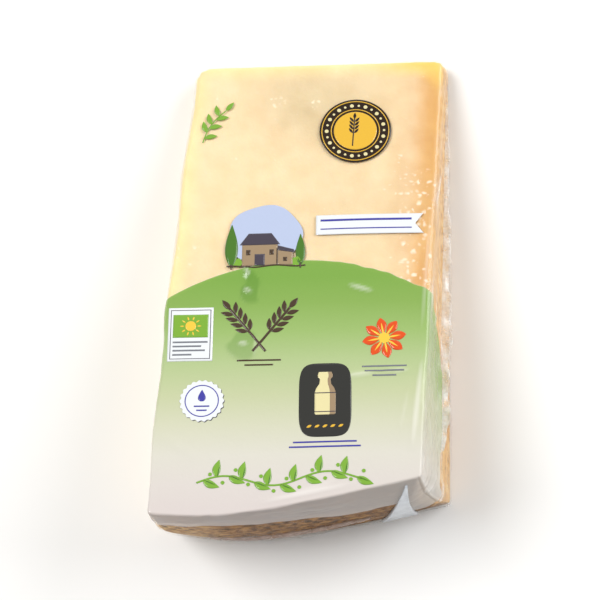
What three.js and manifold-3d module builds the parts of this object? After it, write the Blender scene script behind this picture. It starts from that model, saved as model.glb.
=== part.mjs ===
// A vacuum-packed chunk of hard grana cheese: a wedge cut from a wheel, half the wheel high, in tight clear film.
// It lies on one cut face with the printed cut face up, the rind end towards -Y and the thin end towards +Y.
// Millimetres, +Z up. The wheel's axis runs along X, on the floor plane beyond the thin end.

import * as THREE from "three";
import { mergeVertices } from "three/addons/utils/BufferGeometryUtils.js";
import Module from "manifold-3d";

// The wheel and the cuts that made the chunk
const wheelRadius = 220;
const wedgeAngle = THREE.MathUtils.degToRad(20);
const tipRadius = 27.4; // the thin end was cut this far from the wheel's axis
const faceWidth = 102; // across the printed face
const tipShift = 12.3; // how far the face runs sideways, towards the rind side, by the thin end
const rightLean = 0.14; // the rind side spreads this much for each millimetre below the printed face
const leftLean = 0.06;
// The rind's barrel: furthest out at an x, measured from the right-hand edge, that moves from the underside to
// the printed face, then falling away ever more evenly. It stands out a little more towards the printed face.
const barrel = { underX: -68, faceX: -82.5, fall: 0.23, softness: 26, rise: 2.2 };

// Rounding of the edges: crisp at the rind end, softer at the thin end
const edgeRadius = { rind: 0.9, tip: 3.4 };

// Extra rounding of the four upright corners, at the printed face, half way down and at the underside
const corners = {
  rindLeft: { face: 0.6, middle: 3, under: 7 },
  rindRight: { face: 1, middle: 10, under: 1 },
  tipLeft: { face: 3.5, middle: 3.5, under: 3.5 },
  tipRight: { face: 1.5, middle: 1.5, under: 1.5 },
};

// The left-hand cut bows out a little and waves
const leftBow = { out: 1.2, wave: 0.45, waves: 3.3 };

// Shallow unevenness of the printed face under the film
const swellHeight = 0.35;

// The side seam of the bag, a wavy fin on the rind side
const fin = {
  thickness: 0.9,
  start: 34, // from the rind end
  end: 176,
  step: 2.5,
  embedded: 2.5, // how far its root reaches into the side
  heightShare: 0.42, // of the side's own height, which its reach follows too
  reachShare: 0.062,
  waves: [{ share: 0.2, length: 37 }, { share: 0.14, length: 15 }],
  lift: 0.4, // how far the edge rises and falls, as a share of its reach
};

// Film lying on the rind end, each piece as four corners of [x, share of the end's height]:
// the bag's corner folded over flat, and a long pleat
const fold = {
  corners: [[-17.5, 0.07], [-3, 0.07], [-5.4, 0.93], [-6.2, 0.93]],
  thickness: 0.9,
  embedded: 1.6,
  steps: [4, 8],
};
const pleat = {
  corners: [[-84, 0.4], [-21, 0.34], [-21, 0.4], [-84, 0.42]],
  thickness: 0.8,
  embedded: 1.4,
  steps: [14, 2],
};

// Grid of the body: spans between the rounded edges, drawn together towards them, and steps round each edge
const spans = { x: 18, y: 28, z: 6 };
const spanGather = 0.75;
const roundSteps = 2;

const wasm = await Module();
wasm.setup();

// Where the rind lies, at a place across the chunk and a share of its height
function rindRadiusAt(x, heightShare) {
  const fullestX = THREE.MathUtils.lerp(barrel.underX, barrel.faceX, heightShare);
  const fall = barrel.fall * (Math.hypot(x - fullestX, barrel.softness) - barrel.softness);
  return wheelRadius + barrel.rise * heightShare - fall;
}

// The x of the left and right sides at a share of the length (0 at the rind) and a depth below the printed face
function sideLimits(lengthShare, depth) {
  const bow =
    leftBow.out * Math.sin(Math.PI * lengthShare) +
    leftBow.wave * (1 - Math.cos(2 * Math.PI * leftBow.waves * lengthShare));
  const right = tipShift * lengthShare + rightLean * depth;
  const left = tipShift * lengthShare - faceWidth - leftLean * depth - bow;
  return { left, right };
}

// A point given across, along and through the chunk, each from -1 to 1, with every face moved in by inset
function hullPoint(across, along, through, inset) {
  const lengthShare = (along + 1) / 2;
  const heightShare = (through + 1) / 2;
  const roughRadius = THREE.MathUtils.lerp(wheelRadius, tipRadius, lengthShare);
  const depth = roughRadius * (Math.sin(wedgeAngle) - Math.sin(wedgeAngle * heightShare));
  const { left, right } = sideLimits(lengthShare, depth);
  const x = THREE.MathUtils.lerp(left + inset, right - inset, (across + 1) / 2);
  const radius = THREE.MathUtils.lerp(rindRadiusAt(x, heightShare) - inset, tipRadius + inset, lengthShare);
  const insetAngle = Math.asin(inset / radius);
  const angle = THREE.MathUtils.lerp(insetAngle, wedgeAngle - insetAngle, heightShare);
  return new THREE.Vector3(x, wheelRadius - radius * Math.cos(angle), radius * Math.sin(angle));
}

// The upright corners: within the corner's radius, the grid's square rim is drawn onto a quarter circle
function roundedCorner(across, along, through) {
  const corner =
    along < 0
      ? across < 0 ? corners.rindLeft : corners.rindRight
      : across < 0 ? corners.tipLeft : corners.tipRight;
  const radius =
    THREE.MathUtils.lerp(corner.middle, through > 0 ? corner.face : corner.under, Math.abs(through) ** 1.5);
  const halfWidth = faceWidth / 2;
  const halfLength = (wheelRadius - tipRadius) / 2;
  const p = radius - (1 - Math.abs(across)) * halfWidth;
  const q = radius - (1 - Math.abs(along)) * halfLength;
  if (p <= 0 || q <= 0) return [across, along];
  const shrink = Math.max(p, q) / Math.hypot(p, q);
  return [
    Math.sign(across) * (1 - (radius - p * shrink) / halfWidth),
    Math.sign(along) * (1 - (radius - q * shrink) / halfLength),
  ];
}

// One grid coordinate as a place on the inner hull, from -1 to 1, and a share of the outward direction
function edgeStep(coordinate, spanCount) {
  const index = Math.round((coordinate + 0.5) * (spanCount + 2 * roundSteps)) - roundSteps;
  if (index < 0) return [-1, -Math.tan((-index / roundSteps) * (Math.PI / 4))];
  if (index > spanCount) return [1, Math.tan(((index - spanCount) / roundSteps) * (Math.PI / 4))];
  const share = index / spanCount;
  return [THREE.MathUtils.lerp(2 * share - 1, -Math.cos(Math.PI * share), spanGather), 0];
}

// Low swells of the printed face, none at its edges
function swell(across, along) {
  const fade = (1 - across ** 4) * (1 - along ** 4);
  const waves =
    Math.sin(2.6 * across + 1.9 * along + 0.6) +
    0.6 * Math.sin(5.1 * along - 2.2 * across + 1.3) +
    0.4 * Math.sin(4.4 * across - 7.3 * along);
  return swellHeight * fade * waves;
}

// The chunk in its film: a box whose grid is carried onto the wedge with rounded edges
function bodyGeometry() {
  const segments = [spans.x, spans.y, spans.z].map((n) => n + 2 * roundSteps);
  const box = new THREE.BoxGeometry(1, 1, 1, ...segments);
  const at = box.getAttribute("position");
  for (let i = 0; i < at.count; i++) {
    const [rawAcross, sideways] = edgeStep(at.getX(i), spans.x);
    const [rawAlong, lengthways] = edgeStep(at.getY(i), spans.y);
    const [through, upwards] = edgeStep(at.getZ(i), spans.z);
    const [across, along] = roundedCorner(rawAcross, rawAlong, through);
    const round = THREE.MathUtils.lerp(edgeRadius.rind, edgeRadius.tip, (along + 1) / 2);
    const angle = (wedgeAngle * (through + 1)) / 2;
    const towardsTip = new THREE.Vector3(0, Math.cos(angle), -Math.sin(angle));
    const offFace = new THREE.Vector3(0, Math.sin(angle), Math.cos(angle));
    const outward = new THREE.Vector3(sideways, 0, 0)
      .addScaledVector(towardsTip, lengthways)
      .addScaledVector(offFace, upwards)
      .normalize();
    const point = hullPoint(across, along, through, round).addScaledVector(outward, round);
    if (upwards >= 1) point.addScaledVector(offFace, swell(across, along));
    at.setXYZ(i, point.x, point.y, point.z);
  }
  return box;
}

// The side seam: a strip along the side, as thick as two layers of sealed film, with a wavy outer edge
function finGeometry() {
  const segments = Math.round((fin.end - fin.start) / fin.step);
  const strip = new THREE.BoxGeometry(1, 1, 1, 2, segments, 1);
  const at = strip.getAttribute("position");
  for (let i = 0; i < at.count; i++) {
    const share = at.getY(i) + 0.5;
    const y = THREE.MathUtils.lerp(fin.start, fin.end, share);
    const height = (wheelRadius - y) * Math.sin(wedgeAngle);
    const lengthShare = y / (wheelRadius - tipRadius);
    const side = sideLimits(lengthShare, height * (1 - fin.heightShare)).right;
    const ripples = fin.waves.map((wave) => wave.share * Math.sin((2 * Math.PI * y) / wave.length));
    const taper = Math.max(0, Math.sin(Math.PI * share)) ** 0.4;
    const reach = taper * fin.reachShare * height * (1 + ripples[0] + ripples[1]);
    const outwards = THREE.MathUtils.lerp(-fin.embedded, reach, at.getX(i) + 0.5);
    const lift = fin.lift * Math.max(0, outwards) * Math.sin((2 * Math.PI * y) / fin.waves[1].length);
    at.setXYZ(i, side + outwards, y, height * fin.heightShare + lift + at.getZ(i) * fin.thickness);
  }
  return strip;
}

// A piece of film on the rind end, following its barrel and standing proud by its thickness
function onRind({ corners: [lowLeft, lowRight, highRight, highLeft], thickness, embedded, steps }) {
  const sheet = new THREE.BoxGeometry(1, 1, 1, ...steps, 1);
  const at = sheet.getAttribute("position");
  const between = (a, b, share) => a.map((value, k) => THREE.MathUtils.lerp(value, b[k], share));
  for (let i = 0; i < at.count; i++) {
    const side = at.getX(i) + 0.5;
    const low = between(lowLeft, lowRight, side);
    const high = between(highLeft, highRight, side);
    const [x, heightShare] = between(low, high, at.getY(i) + 0.5);
    const angle = wedgeAngle * heightShare;
    const radius = rindRadiusAt(x, heightShare) + THREE.MathUtils.lerp(-embedded, thickness, at.getZ(i) + 0.5);
    at.setXYZ(i, x, wheelRadius - radius * Math.cos(angle), radius * Math.sin(angle));
  }
  return sheet;
}

// Turns a closed geometry into a solid for joining
function solidOf(geometry) {
  geometry.deleteAttribute("normal");
  geometry.deleteAttribute("uv");
  const merged = mergeVertices(geometry, 1e-4);
  return new wasm.Manifold(
    new wasm.Mesh({
      numProp: 3,
      vertProperties: merged.getAttribute("position").array,
      triVerts: new Uint32Array(merged.index.array),
    }),
  );
}

function geometryOf(solid) {
  const mesh = solid.getMesh();
  return new THREE.BufferGeometry()
    .setAttribute("position", new THREE.BufferAttribute(new Float32Array(mesh.vertProperties), 3))
    .setIndex(new THREE.BufferAttribute(new Uint32Array(mesh.triVerts), 1));
}

const packed = [finGeometry(), onRind(fold), onRind(pleat)].reduce(
  (whole, piece) => whole.add(solidOf(piece)),
  solidOf(bodyGeometry()),
);

// The origin goes to the middle of the underside
const packGeometry = geometryOf(packed);
packGeometry.computeBoundingBox();
const { min, max } = packGeometry.boundingBox;
packGeometry.translate(-(min.x + max.x) / 2, -(min.y + max.y) / 2, -min.z);

const filmedCheese = new THREE.MeshStandardMaterial({ color: 0xf3dcae, roughness: 0.35, metalness: 0 });
const cheesePack = new THREE.Mesh(packGeometry, filmedCheese);
cheesePack.name = "cheese_pack";

const group = new THREE.Group();
group.add(cheesePack);

export default group;
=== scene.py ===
# A wedge of hard grana cheese in a printed vacuum pack, lying on one cut face on a pale floor.
# Sizes are millimetres in the wheel's own frame: x across from the printed face's right rind corner, the
# wheel's axis along x at y = 220, z up from the underside. Each mesh is moved to the CAD frame, in metres,
# as it is made.
import math
import bpy
import numpy as np
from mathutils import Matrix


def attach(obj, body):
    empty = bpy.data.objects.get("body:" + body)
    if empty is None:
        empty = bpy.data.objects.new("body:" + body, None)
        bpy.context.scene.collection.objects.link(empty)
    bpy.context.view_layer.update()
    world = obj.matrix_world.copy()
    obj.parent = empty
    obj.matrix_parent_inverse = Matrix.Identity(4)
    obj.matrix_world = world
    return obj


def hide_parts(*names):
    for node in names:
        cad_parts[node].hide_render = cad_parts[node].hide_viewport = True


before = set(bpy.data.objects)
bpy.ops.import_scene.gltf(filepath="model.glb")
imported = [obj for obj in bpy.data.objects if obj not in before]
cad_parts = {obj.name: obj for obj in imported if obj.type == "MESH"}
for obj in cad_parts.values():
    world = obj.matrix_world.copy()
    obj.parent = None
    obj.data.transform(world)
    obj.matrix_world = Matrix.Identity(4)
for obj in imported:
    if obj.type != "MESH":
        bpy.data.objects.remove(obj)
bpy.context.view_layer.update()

wheelPlace = np.array([46.272, -96.726, 0.0])  # the wheel's frame as seen in the CAD frame
solidNode = "cheese_pack"
wheelRadius = 220.0

chunk = {
    "angle": math.radians(20),  # between the two cut faces
    "tipRadius": 27.4,
    "faceWidth": 102.0,
    "tipShift": 12.3,  # how far the face runs sideways by the thin end
    "rightLean": 0.14,
    "leftLean": 0.06,
    "leftBow": {"out": 1.2, "wave": 0.45, "waves": 3.3},
    # the rind's barrel is fullest at an x that moves from the underside to the printed face
    "barrel": {"underX": -68.0, "faceX": -82.5, "fall": 0.23, "softness": 26.0, "rise": 2.2},
    "edgeRound": {"rind": 0.9, "tip": 3.4},
    # rounding of the upright corners at the printed face, half way down and at the underside
    "corners": {
        "rindLeft": (0.6, 3.0, 7.0),
        "rindRight": (1.0, 10.0, 1.0),
        "tipLeft": (3.5, 3.5, 3.5),
        "tipRight": (1.5, 1.5, 1.5),
    },
    "swell": 0.35,
}
faceLength = wheelRadius - chunk["tipRadius"]
faceNormal = np.array([0.0, math.sin(chunk["angle"]), math.cos(chunk["angle"])])


def lerp(start, end, share):
    return start + (end - start) * share


def fadeIn(value, start, end):
    # a smoothstep from 0 at start to 1 at end
    share = np.clip((value - start) / (end - start), 0, 1)
    return share * share * (3 - 2 * share)


def toLinear(hexColour):
    # sRGB hex to linear light, with full alpha
    parts = [int(hexColour[i : i + 2], 16) / 255 for i in (1, 3, 5)]
    return [c / 12.92 if c <= 0.04045 else ((c + 0.055) / 1.055) ** 2.4 for c in parts] + [1.0]


def valueNoise(points, cell, seed):
    # a hashed random value from -1 to 1 at each corner of a cubic lattice, blended by smoothsteps
    scaled = points / cell
    base = np.floor(scaled).astype(np.int64)
    part = scaled - base
    part = part * part * (3 - 2 * part)
    total = np.zeros(len(points))
    for corner in np.ndindex(2, 2, 2):
        at = base + np.array(corner)
        mixed = at[:, 0] * 73856093 ^ at[:, 1] * 19349663 ^ at[:, 2] * 83492791 ^ (seed * 2654435761)
        mixed = ((mixed ^ (mixed >> 15)) * 2246822519) & 0xFFFFFFFF
        mixed = ((mixed ^ (mixed >> 13)) * 3266489917) & 0xFFFFFFFF
        weight = np.prod(np.where(corner, part, 1 - part), axis=1)
        total += weight * ((mixed >> 8) & 0xFFFF) / 65535
    return total * 2 - 1


# The wedge's own shape

def rindRadius(x, heightShare):
    # the wheel's radius, more towards the printed face, less a hyperbola's fall from the fullest place
    barrel = chunk["barrel"]
    fullest = lerp(barrel["underX"], barrel["faceX"], heightShare)
    fall = barrel["fall"] * (np.hypot(x - fullest, barrel["softness"]) - barrel["softness"])
    return wheelRadius + barrel["rise"] * heightShare - fall


def sideLimits(lengthShare, depth):
    # the left cut bows by one arch of a sine and waves by a cosine, and both sides spread with depth
    bow = chunk["leftBow"]
    out = bow["out"] * np.sin(np.pi * lengthShare)
    out = out + bow["wave"] * (1 - np.cos(2 * np.pi * bow["waves"] * lengthShare))
    right = chunk["tipShift"] * lengthShare + chunk["rightLean"] * depth
    left = chunk["tipShift"] * lengthShare - chunk["faceWidth"] - chunk["leftLean"] * depth - out
    return left, right


def hullPoints(across, along, through, inset):
    # cylindrical coordinates round the wheel's axis: the radius runs from the rind to the thin end and the
    # angle from the underside to the printed face, with every face moved in by inset
    lengthShare = (along + 1) / 2
    heightShare = (through + 1) / 2
    roughRadius = lerp(wheelRadius, chunk["tipRadius"], lengthShare)
    depth = roughRadius * (np.sin(chunk["angle"]) - np.sin(chunk["angle"] * heightShare))
    left, right = sideLimits(lengthShare, depth)
    x = lerp(left + inset, right - inset, (across + 1) / 2)
    radius = lerp(rindRadius(x, heightShare) - inset, chunk["tipRadius"] + inset, lengthShare)
    insetAngle = np.arcsin(inset / radius)
    angle = lerp(insetAngle, chunk["angle"] - insetAngle, heightShare)
    return np.stack([x, wheelRadius - radius * np.cos(angle), radius * np.sin(angle)], axis=-1)


def roundCorners(across, along, through):
    # inside an upright corner's radius the grid's square rim is drawn onto a quarter circle
    table = np.array([chunk["corners"][key] for key in ("rindLeft", "rindRight", "tipLeft", "tipRight")])
    face, middle, under = table[(along > 0) * 2 + (across > 0)].T
    radius = lerp(middle, np.where(through > 0, face, under), np.abs(through) ** 1.5)
    halfWidth = chunk["faceWidth"] / 2
    halfLength = faceLength / 2
    p = radius - (1 - np.abs(across)) * halfWidth
    q = radius - (1 - np.abs(along)) * halfLength
    inside = (p > 0) & (q > 0)
    shrink = np.where(inside, np.maximum(p, q) / np.maximum(np.hypot(p, q), 1e-9), 1)
    return (
        np.where(inside, np.sign(across) * (1 - (radius - p * shrink) / halfWidth), across),
        np.where(inside, np.sign(along) * (1 - (radius - q * shrink) / halfLength), along),
    )


def gridQuads(index):
    # the four-cornered faces between neighbouring places of a grid of vertex numbers
    return np.stack([index[:-1, :-1], index[1:, :-1], index[1:, 1:], index[:-1, 1:]], -1).reshape(-1, 4)


def boxLattice(counts):
    # each side of a box is a grid of whole numbers; equal places on neighbouring grids become one vertex
    places, quads, total = [], [], 0
    for axis in range(3):
        first, second = (axis + 1) % 3, (axis + 2) % 3
        for end in (0, counts[axis]):
            a, b = np.meshgrid(np.arange(counts[first] + 1), np.arange(counts[second] + 1), indexing="ij")
            grid = np.zeros(a.shape + (3,), int)
            grid[..., first] = a
            grid[..., second] = b
            grid[..., axis] = end
            index = total + np.arange(a.size).reshape(a.shape)
            quad = gridQuads(index)
            quads.append(quad if end else quad[:, ::-1])
            places.append(grid.reshape(-1, 3))
            total += a.size
    lattice, shared = np.unique(np.concatenate(places), axis=0, return_inverse=True)
    return lattice, shared.reshape(-1)[np.concatenate(quads)]


def gridSteps(index, count, roundSteps, gather):
    # a lattice index as a place from -1 to 1, closer together at the ends, and a rounded edge's lean
    inner = index - roundSteps
    share = np.clip(inner / count, 0, 1)
    place = lerp(2 * share - 1, -np.cos(np.pi * share), gather)
    beyond = np.where(inner < 0, inner, np.maximum(inner - count, 0))
    return place, np.tan(beyond / roundSteps * np.pi / 4)


def chunkSurface(spans, roundSteps, gather, gap):
    # the wedge as a box lattice carried onto the hull with rounded edges, moved in everywhere by gap
    lattice, quads = boxLattice([count + 2 * roundSteps for count in spans])
    steps = [gridSteps(lattice[:, k], spans[k], roundSteps, gather) for k in range(3)]
    (across, sideways), (along, lengthways), (through, upwards) = steps
    across, along = roundCorners(across, along, through)
    edge = lerp(chunk["edgeRound"]["rind"], chunk["edgeRound"]["tip"], (along + 1) / 2)
    angle = chunk["angle"] * (through + 1) / 2
    lean = np.stack([sideways, lengthways, upwards], axis=1)
    lean = lean / np.linalg.norm(lean, axis=1, keepdims=True)
    lengthwise = lean[:, 1] * np.cos(angle) + lean[:, 2] * np.sin(angle)
    upright = lean[:, 2] * np.cos(angle) - lean[:, 1] * np.sin(angle)
    outward = np.stack([lean[:, 0], lengthwise, upright], axis=1)
    base = hullPoints(across, along, through, edge) + outward * edge[:, None]
    radius = np.hypot(wheelRadius - base[:, 1], base[:, 2])
    heightShare = np.arcsin(np.clip(base[:, 2] / radius, -1, 1)) / chunk["angle"]
    depth = np.maximum(radius * (math.sin(chunk["angle"]) - np.sin(chunk["angle"] * heightShare)), 0)
    return {
        "base": base, "points": base - outward * gap, "outward": outward, "quads": quads, "lean": lean,
        "reach": wheelRadius - radius, "heightShare": heightShare, "depth": depth,
    }


# The film's relief

relief = {
    # low lumps where the film lies on the crumb, as cell size and height, on the cut faces
    "lumps": ((9.0, 0.07), (4.0, 0.035)),
    # crumples on the rind side, on the rind end and on the hidden cuts
    "crumples": ((11.0, 0.34), (5.0, 0.2), (2.6, 0.09)),
    # creases on the printed face: from x, reach to x, reach, then width and height
    "faceCreases": (
        (-67.6, 100.5, -66.0, 95.5, 1.1, 0.5),
        (-68.2, 91.5, -64.6, 88.5, 1.1, 0.45),
        (-62.6, 98, -62.4, 84, 1.3, -0.35),
        (-63.0, 72, -63.0, 60, 1.3, 0.3),
        (-70.0, 68, -65.5, 67, 1.2, 0.45),
        (-28.0, 91.5, -17.0, 88, 1.3, 0.45),
        (-30.0, 53, -16.0, 54.5, 1.3, 0.4),
        (-14.0, 55, -3.0, 55, 1.2, 0.35),
        (-98.0, 30, -84.0, 21, 2.0, 0.2),
        (-62.0, 2.6, -24.0, 10.0, 1.2, 0.4),
        (-48.0, 7.0, -28.0, 12.0, 1.2, 0.25),
        (-3.5, 22, 1.2, 62, 1.4, 0.45),
        (-8.5, 26, -3.6, 52, 1.4, 0.25),
        (0.5, 66, 5.6, 128, 1.2, 0.35),
        (-92.0, 150, -86.0, 176, 2.2, 0.16),
    ),
    # pockets of air under the film: x, reach, half width and half length
    "pocketHeight": 0.3,
    "pockets": (
        (-65.2, 92.0, 3.2, 7.5),
        (-68.0, 66.5, 4.8, 6.0),
    ),
    # folds on the rind end: from x, depth to x, depth, then width and height
    "endFolds": (
        (-66.0, 3.0, -28.0, 5.0, 1.2, 0.45),
        (-58.0, 7.5, -24.0, 9.5, 1.3, 0.5),
        (-50.0, 12.0, -30.0, 13.0, 1.2, 0.4),
        (-98.0, 9.0, -80.0, 7.0, 1.3, 0.35),
    ),
    # folds on the rind side: from reach, depth to reach, depth, then width and height
    "sideFolds": (
        (12.5, 2, 16.5, 38, 1.4, 0.5),
        (12.0, 57, 23.0, 41, 1.4, 0.55),
        (20.0, 42, 47.0, 36, 1.3, 0.6),
        (44.0, 37, 70.0, 32, 1.3, 0.6),
        (67.0, 33, 79.0, 17, 1.3, 0.5),
    ),
}


def creaseHeight(a, b, creases):
    # each crease is a ridge with a bell-shaped section along a segment, tapering to nothing at both ends
    total = np.zeros(len(a))
    for startA, startB, endA, endB, width, height in creases:
        runA, runB = endA - startA, endB - startB
        share = ((a - startA) * runA + (b - startB) * runB) / (runA**2 + runB**2)
        held = np.clip(share, 0, 1)
        away = np.hypot(a - startA - held * runA, b - startB - held * runB)
        total += height * np.exp(-((away / width) ** 2)) * np.sqrt(np.maximum(np.sin(np.pi * held), 0))
    return total


def liftedFilm(x, reach):
    # each pocket is a superellipse with a wandering rim and an even middle
    wander = 0.9 * np.sin(reach / 1.7) + 0.7 * np.sin(x / 1.3 + reach / 3.1)
    lifted = np.zeros(len(x))
    for middleX, middleReach, halfWidth, halfLength in relief["pockets"]:
        sideways = np.abs((x + wander - middleX) / halfWidth) ** 3
        lengthways = np.abs((reach - middleReach) / halfLength) ** 3
        lifted = np.maximum(lifted, 1 - fadeIn(sideways + lengthways, 0.5, 1.4))
    return lifted


def scatteredCreases(count, limitsA, limitsB, lengths, slope, seed):
    # creases at random places, mostly along the first axis
    draw = np.random.default_rng(seed)
    startA = draw.uniform(*limitsA, count)
    startB = draw.uniform(*limitsB, count)
    length = draw.uniform(*lengths, count)
    turn = draw.normal(0, slope, count)
    width = draw.uniform(0.7, 1.6, count)
    height = draw.uniform(0.15, 0.45, count) * draw.choice([1, 1, -0.6], count)
    endA, endB = startA + length * np.cos(turn), startB + length * np.sin(turn)
    return np.stack([startA, startB, endA, endB, width, height], 1)


sideCreases = scatteredCreases(90, (0, 180), (0, 75), (8, 34), 0.4, 5)
sideCreases = np.concatenate([sideCreases, relief["sideFolds"]])
endCreases = scatteredCreases(60, (-104, 4), (0, 75), (8, 30), 0.35, 6)
endCreases = np.concatenate([endCreases, relief["endFolds"]])


def faceRelief(points):
    # low swells that fade out at the face's rim, lumps of value noise and the creases
    x = points[:, 0]
    reach = wheelRadius - np.hypot(wheelRadius - points[:, 1], points[:, 2])
    along = 2 * reach / faceLength - 1
    across = 2 * (x - chunk["tipShift"] * reach / faceLength) / chunk["faceWidth"] + 1
    fade = (1 - np.clip(across, -1, 1) ** 4) * (1 - np.clip(along, -1, 1) ** 4)
    waves = np.sin(2.6 * across + 1.9 * along + 0.6) + 0.6 * np.sin(5.1 * along - 2.2 * across + 1.3)
    waves += 0.4 * np.sin(4.4 * across - 7.3 * along)
    height = chunk["swell"] * fade * waves + creaseHeight(x, reach, relief["faceCreases"])
    height += relief["pocketHeight"] * liftedFilm(x, reach)
    for number, (cell, size) in enumerate(relief["lumps"]):
        height += size * valueNoise(points, cell, 11 + number)
    return height


def filmRelief(surface):
    # each face of the wedge has its own relief, blended over the rounded edges by the squared lean
    base, lean = surface["base"], surface["lean"]
    share = lean**2 / np.sum(lean**2, axis=1, keepdims=True)
    crumple = sum(
        size * valueNoise(base, cell, 21 + number) for number, (cell, size) in enumerate(relief["crumples"])
    )
    right = crumple + creaseHeight(surface["reach"], surface["depth"], sideCreases)
    rindEnd = 0.8 * crumple + creaseHeight(base[:, 0], surface["depth"], endCreases)
    height = share[:, 0] * np.where(lean[:, 0] > 0, right, 0.8 * crumple)
    height += share[:, 1] * np.where(lean[:, 1] < 0, rindEnd, 0.5 * crumple)
    height += share[:, 2] * np.where(lean[:, 2] > 0, faceRelief(base), 0)
    return height


def facePoints(x, reach, lift):
    # places on the printed face's film, by x and the distance in from the rind, raised along its normal
    radius = wheelRadius - reach
    y = wheelRadius - radius * math.cos(chunk["angle"])
    flat = np.stack([x, y, radius * math.sin(chunk["angle"])], axis=-1).reshape(-1, 3)
    return flat + faceNormal * (faceRelief(flat) + lift)[:, None]


# Meshes and materials

def addObject(name, data):
    placed = bpy.data.objects.new(name, data)
    bpy.context.scene.collection.objects.link(placed)
    return placed


def makePiece(name, points, quads, material, values=(), crisp=None):
    # millimetres in the wheel's frame become metres in the CAD frame; crisp marks the faces left flat
    mesh = bpy.data.meshes.new(name)
    mesh.from_pydata(((points + wheelPlace) / 1000).tolist(), [], quads.tolist())
    for title, numbers in dict(values).items():
        layer = mesh.attributes.new(title, "FLOAT", "POINT")
        layer.data.foreach_set("value", np.asarray(numbers, np.float32))
    mesh.shade_smooth()
    if crisp is not None:
        mesh.polygons.foreach_set("use_smooth", ~crisp)
    mesh.materials.append(material)
    piece = addObject(name, mesh)
    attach(piece, "root")
    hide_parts(solidNode)


def addNode(tree, kind, inputs=(), stops=(), **settings):
    # one node with its settings and a ramp's stops; an input is a value, a socket, or a node, which stands
    # for its first output in use
    node = tree.nodes.new(kind)
    for title, value in settings.items():
        setattr(node, title, value)
    for title, value in dict(inputs).items():
        if isinstance(value, bpy.types.Node):
            value = next(output for output in value.outputs if output.enabled)
        if isinstance(value, bpy.types.NodeSocket):
            tree.links.new(value, node.inputs[title])
        else:
            node.inputs[title].default_value = value
    for number, (place, colour) in enumerate(stops):
        elements = node.color_ramp.elements
        element = elements[number] if number < 2 else elements.new(place)
        element.position = place
        element.color = toLinear(colour)
    return node


def newMaterial(name):
    material = bpy.data.materials.new(name)
    material.use_nodes = True
    material.node_tree.nodes.clear()
    return material, material.node_tree


cheeseLook = {
    # the paste by its distance in from the rind, as a share of crustDepth
    "crustDepth": 28.0,
    "paste": (
        # the first stop is lighter: the film's haze and a painted highlight on the rind's rounded edge
        (0.0, "#E3B77C"),
        (0.1, "#D6A055"),
        (0.2, "#D9A25A"),
        (0.31, "#E0B279"),
        (0.44, "#E4C193"),
        (0.75, "#E9CC9F"),
        (1.0, "#ECD2A7"),
    ),
    "dull": "#CFBA91",
    # painted backlight: the pale yellow of light shining through the face's rim and thin end
    "thin": "#EEDE9F",
    "golden": "#EEC562",
    "fleck": "#F8E4CC",
    # the barrel's brown is partly the rind's own colour and partly painted shade on the end away from the
    # lamps
    "barrelRindAndShade": ((0.34, "#3A220C"), (0.45, "#6E4620"), (0.54, "#8E6232"), (0.66, "#AD7F46")),
    "plateRind": ((0.33, "#8F5A24"), (0.42, "#C68E48"), (0.54, "#DDAE66"), (0.68, "#EACB90")),
    "bark": 3.4,  # size of the rind's blotches in millimetres
    "stamped": "#2E1C0E",
    "scatter": 0.18,
    "scatterRadius": (0.0036, 0.0022, 0.0010),  # how far red, green and blue spread in the paste
    "mottle": 9.0,  # size of the paste's blotches
    "grain": 1.3,  # drawn a little coarser than the real grain, so that it shows
    "fleckSpacing": 2.2,
    # the noise that shakes the crystals' places: waves per metre, and how far it moves them, in metres
    "shakeScale": 300.0,
    "shakeReach": (0.003, 0.003, 0.003),
}


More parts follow.
